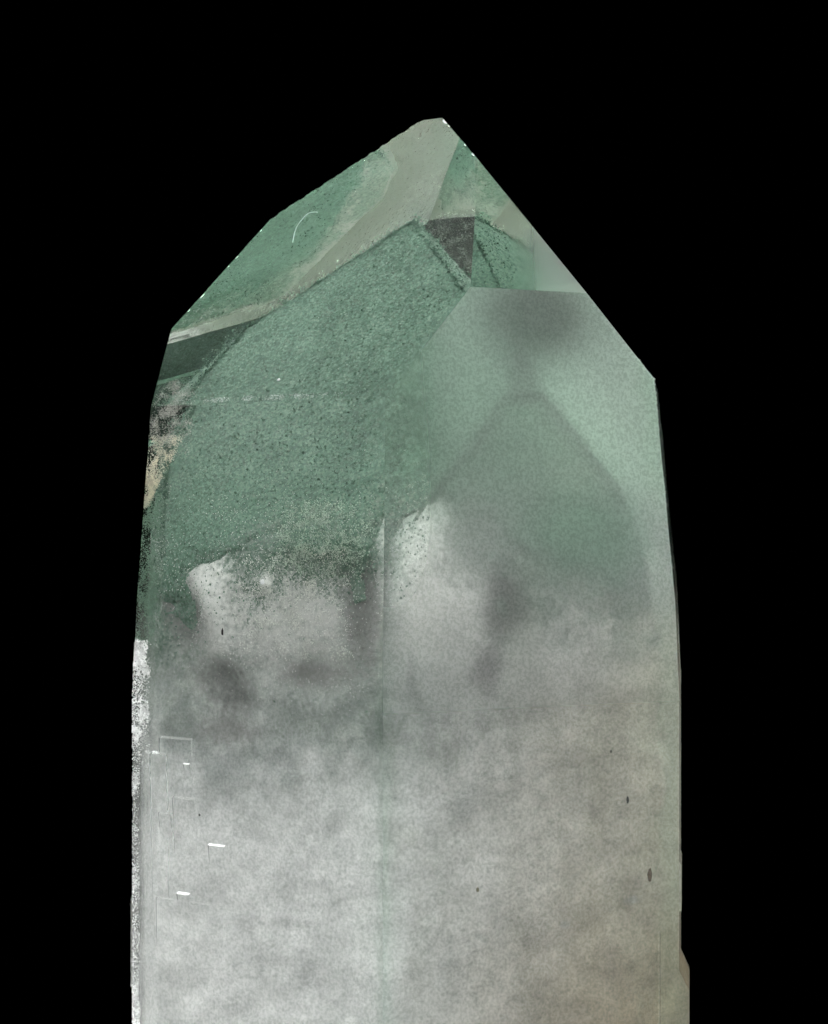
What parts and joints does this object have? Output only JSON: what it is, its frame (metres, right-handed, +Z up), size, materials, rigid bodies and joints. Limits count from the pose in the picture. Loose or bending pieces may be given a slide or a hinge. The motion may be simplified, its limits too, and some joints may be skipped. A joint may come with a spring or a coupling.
{
  "type": "fuchsite in quartz",
  "caption": "Upright six-sided quartz point on a flat cut base, clear at the tip and milky below, with a thin green fuchsite phantom sealed inside it.",
  "frame": {"origin": "on the crystal's long (c) axis, at the flat cut base", "axes": "+Z up along the long axis towards the point; -Y is the pictured side, with its upright front edge; +X is to the right in the picture"},
  "size_m": [0.0375, 0.0379, 0.073],
  "materials": {
    "clear_quartz": "glossy natural crystal faces",
    "milky_quartz": "clouded, satin faces with growth steps",
    "fuchsite": "fine glittering flakes"
  },
  "bodies": {
    "root": {"quartz_tip": "clear_quartz", "quartz_base": "milky_quartz", "fuchsite_phantom": "fuchsite"}
  },
  "joints": []
}
